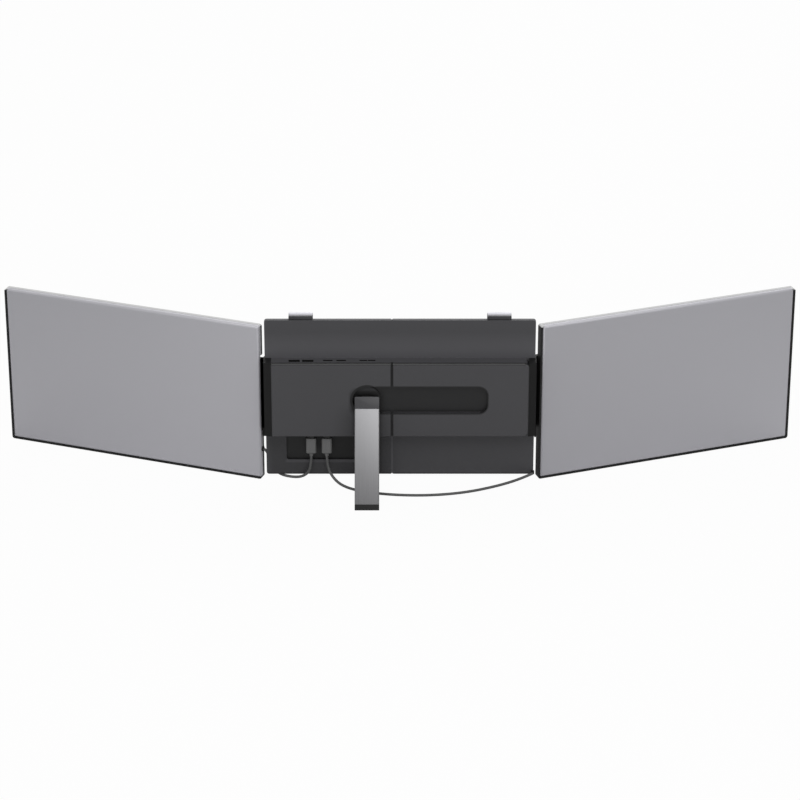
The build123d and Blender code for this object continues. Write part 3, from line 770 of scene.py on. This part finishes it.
# cables: the route's points run from the plug to the far end, in millimetres from the plates'
# back face, and bendFrom numbers one of them; each cord is laid once as a fixed tube
cableDiameter = 0.0032
cableShape = {"curveOrder": 3, "curveSteps": 12, "sides": 16}
cables = {
    "left_cable": {
        "route": [
            (-104.2, -7.0, 33.5), (-104.7, -7.0, 22), (-108.2, -6.0, 11), (-117.2, -3.0, 4.0),
            (-130.2, 1.0, 2.6), (-142.2, 3.3, 5), (-150.2, 3.8, 14), (-154.7, 4.0, 25),
            (-156.2, 3.8, 35), (-160.71, 3.03, 38.5),
        ],
        "parent": "left_half",
        "child": "left_monitor",
        "bendFrom": 5,
        "length": 0.099,
    },
    "right_cable": {
        "route": [
            (-86, -7.0, 33.5), (-85.4, -7.5, 20), (-79, -13.0, 8), (-67, -24.0, 2.2),
            (-44, -37.0, 1.7), (-6, -45.5, 1.7), (36, -46.5, 1.7), (77, -39.0, 1.8),
            (114, -25.5, 3.4), (142, -12.0, 6), (156.6, -4.0, 9.4),
        ],
        "parent": "left_half",
        "child": "right_half",
        "bendFrom": 4,
        "length": 0.28,
    },
}


def metres(points):
    return [(x / perMetre, y / perMetre + behind, z / perMetre) for x, y, z in points]


def routeSpline(name, points):
    curve = bpy.data.curves.new(name, "CURVE")
    curve.dimensions = "3D"
    spline = curve.splines.new("NURBS")
    spline.points.add(len(points) - 1)
    for point, spot in zip(spline.points, points):
        point.co = (*spot, 1)
    spline.order_u = cableShape["curveOrder"]
    spline.use_endpoint_u = True
    spline.resolution_u = cableShape["curveSteps"]
    return curve


def centreline(curve):
    holder = bpy.data.objects.new("route", curve)
    bpy.context.collection.objects.link(holder)
    line = bpy.data.meshes.new_from_object(holder)
    spots = [v.co.copy() for v in line.vertices]
    bpy.data.objects.remove(holder)
    return spots


def lengthOf(spots):
    return sum((b - a).length for a, b in zip(spots, spots[1:]))


def tubeAlong(name, spots, radius, sides):
    # rings carried along the line without twisting
    work = bmesh.new()
    rings = []
    across = None
    for index, spot in enumerate(spots):
        before = spots[max(index - 1, 0)]
        after = spots[min(index + 1, len(spots) - 1)]
        along = (after - before).normalized()
        if across is None:
            across = along.orthogonal().normalized()
        across = (across - along * across.dot(along)).normalized()
        other = along.cross(across)
        turns = (2 * math.pi * s / sides for s in range(sides))
        rings.append([
            work.verts.new(spot + radius * (math.cos(a) * across + math.sin(a) * other))
            for a in turns
        ])
    for first, second in zip(rings, rings[1:]):
        for s in range(sides):
            t = (s + 1) % sides
            work.faces.new((first[s], first[t], second[t], second[s]))
    work.faces.new(list(reversed(rings[0])))
    work.faces.new(rings[-1])
    bmesh.ops.recalc_face_normals(work, faces=work.faces)
    shape = bpy.data.meshes.new(name)
    work.to_mesh(shape)
    work.free()
    for face in shape.polygons:
        face.use_smooth = len(face.vertices) < sides        # the two flat ends stay flat
    piece = bpy.data.objects.new(name, shape)
    bpy.context.collection.objects.link(piece)
    return piece


def makeCable(name, route):
    spots = centreline(routeSpline(name + "_route", route))
    print(name, "length", round(lengthOf(spots), 4))
    piece = tubeAlong(name + "_cord", spots, cableDiameter / 2, cableShape["sides"])
    dress(piece, "cable")
    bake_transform(piece)
    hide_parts(name)


for name, c in cables.items():
    route = metres(c["route"])
    makeCable(
        name, route,
    )
print("cables laid:", len(cables))

# studio: pale floor, white surroundings for the camera and reflections, soft lamps
studio = {
    "worldLight": 0.42,
    "floorSize": 14.0,
    "floorDrop": 0.0002,
    "floorColour": (0.7, 0.7, 0.7),
    "floorRough": 0.9,
    "floorGlow": 0.96,
}
lamps = {
    "key": {"place": (-0.1, -1.7, 2.8), "aim": (0, 0, 0.1), "size": 2.0, "watts": 44.0},
    "back": {"place": (0.4, 1.8, 1.9), "aim": (0, 0, 0.15), "size": 2.2, "watts": 18.0},
}


def makeLamp(name, p):
    data = bpy.data.lights.new(name, "AREA")
    data.shape = "SQUARE"
    data.size = p["size"]
    data.energy = p["watts"]
    light = bpy.data.objects.new(name, data)
    light.location = p["place"]
    direction = Vector(p["aim"]) - Vector(p["place"])
    light.rotation_euler = direction.to_track_quat("-Z", "Y").to_euler()
    bpy.context.collection.objects.link(light)


def whiteSurround(s):
    world = bpy.data.worlds.new("studio")
    bpy.context.scene.world = world
    world.use_nodes = True
    tree = world.node_tree
    backdrop = tree.nodes["Background"]
    rays = tree.nodes.new("ShaderNodeLightPath")
    camera, through, glossy = [
        Wire(tree, rays.outputs["Is " + kind + " Ray"])
        for kind in ("Camera", "Transmission", "Glossy")
    ]
    strength = (camera + through + glossy) * (1 - s["worldLight"]) + s["worldLight"]
    tree.links.new(strength.socket, backdrop.inputs["Strength"])
    backdrop.inputs["Color"].default_value = (1, 1, 1, 1)


def paleFloor(s):
    half = s["floorSize"] / 2
    shape = bpy.data.meshes.new("floor")
    corners = [(-half, -half, 0), (half, -half, 0), (half, half, 0), (-half, half, 0)]
    shape.from_pydata(corners, [], [(0, 1, 2, 3)])
    floor = bpy.data.objects.new("floor", shape)
    bpy.context.collection.objects.link(floor)
    f = Finish("floor_skin")
    f.set(Base_Color=s["floorColour"], Roughness=s["floorRough"])
    seen = f.node("ShaderNodeLightPath", out="Is Camera Ray")
    lit = f.node("ShaderNodeEmission", values={"Color": (1, 1, 1), "Strength": 1.0})
    plain = Wire(f.tree, f.shader.outputs[0])
    mixed = f.node("ShaderNodeMixShader", values={0: seen * s["floorGlow"], 1: plain, 2: lit})
    f.feed(f.tree.nodes["Material Output"].inputs["Surface"], mixed)
    floor.data.materials.append(f.material)
    floor.location = (0, 0, -s["floorDrop"])


whiteSurround(studio)
paleFloor(studio)
for name, p in lamps.items():
    makeLamp(name, p)
bpy.context.scene.view_settings.view_transform = "Standard"
print("studio lit")
